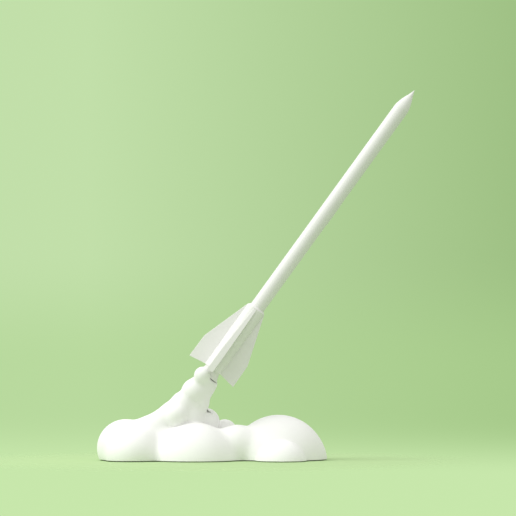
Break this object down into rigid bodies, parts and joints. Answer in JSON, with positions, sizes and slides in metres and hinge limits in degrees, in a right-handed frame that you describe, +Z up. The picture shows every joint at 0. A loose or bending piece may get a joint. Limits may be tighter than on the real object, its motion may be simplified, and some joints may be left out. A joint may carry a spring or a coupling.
{
  "type": "model rocket",
  "caption": "Long slim model rocket with a fin can and clipped delta fins, lifting off on a puffy smoke cloud that serves as its display stand.",
  "frame": {"origin": "middle of the stand's resting face, at ground level", "axes": "+Z up; +X horizontally, the way the rocket leans and the nose points; +Y away from the front fin, so the front fin points to -Y"},
  "size_m": [0.5192, 0.1925, 0.6047],
  "materials": {
    "white_paper": "painted white card tube, satin, smooth",
    "white_moulding": "white moulded plastic, satin",
    "bell_moulding": "white moulded plastic, matt",
    "smoke_cast": "white cast resin, matt with a slight sheen",
    "kraft_card": "brown spiral-wound card",
    "balsa": "bare balsa",
    "spring_steel": "bright spring steel",
    "steel": "turned steel",
    "brass": "turned brass",
    "fired_clay": "pressed clay, sooty",
    "tissue": "crumpled flameproof tissue",
    "canopy_cloth": "thin white ripstop, folded and rolled",
    "elastic": "woven white elastic",
    "pad_rubber": "dark rubber"
  },
  "bodies": {
    "stand": {"smoke_base": "smoke_cast", "smoke_column": "smoke_cast", "column_bush": "brass", "base_plate": "smoke_cast", "plate_screws": "steel", "rod_socket": "steel", "socket_screws": "steel", "ballast_ring": "steel", "foot_pads": "pad_rubber"},
    "rod": {"display_rod": "steel", "rod_collar": "steel", "collar_screw": "steel"},
    "rocket": {"body_tube": "white_paper", "fin_can": "white_moulding", "fin_front": "white_moulding", "fin_lower": "white_moulding", "fin_rear": "white_moulding", "fin_upper": "white_moulding", "launch_lug_fore": "white_paper", "launch_lug_aft": "white_paper", "lug_standoff": "balsa", "motor_tube": "kraft_card", "centring_ring_fore": "kraft_card", "centring_ring_aft": "kraft_card", "thrust_ring": "kraft_card", "hook_band": "tissue", "motor_casing": "kraft_card", "motor_nozzle": "fired_clay", "rod_guide": "balsa", "nozzle_bell": "bell_moulding", "wadding": "tissue", "parachute": "canopy_cloth", "shock_cord": "elastic", "cord_mount": "kraft_card"},
    "hook": {"motor_hook": "spring_steel"},
    "nose": {"nose_cone": "white_moulding", "nose_tip": "white_moulding", "tip_stud": "brass", "nose_plug": "white_moulding", "nose_eyelet": "spring_steel"}
  },
  "joints": [
    {"name": "rod_turn", "type": "hinge", "parent": "stand", "child": "rod", "pos_m": [0.0021, 0, 0.14864], "axis": [0.5864, 0, 0.81], "continuous": true},
    {"name": "rocket_lift", "type": "slide", "parent": "rod", "child": "rocket", "axis": [0.5864, 0, 0.81], "range_m": [0, 0.08]},
    {"name": "nose_pull", "type": "slide", "parent": "rocket", "child": "nose", "axis": [0.5864, 0, 0.81], "range_m": [0, 0.045]},
    {"name": "hook_flex", "type": "hinge", "parent": "rocket", "child": "hook", "pos_m": [0.04694, 0.00704, 0.19859], "axis": [0.5728, -0.7071, -0.4146], "range_deg": [0, 1], "stiffness_Nm_per_rad": 2}
  ]
}
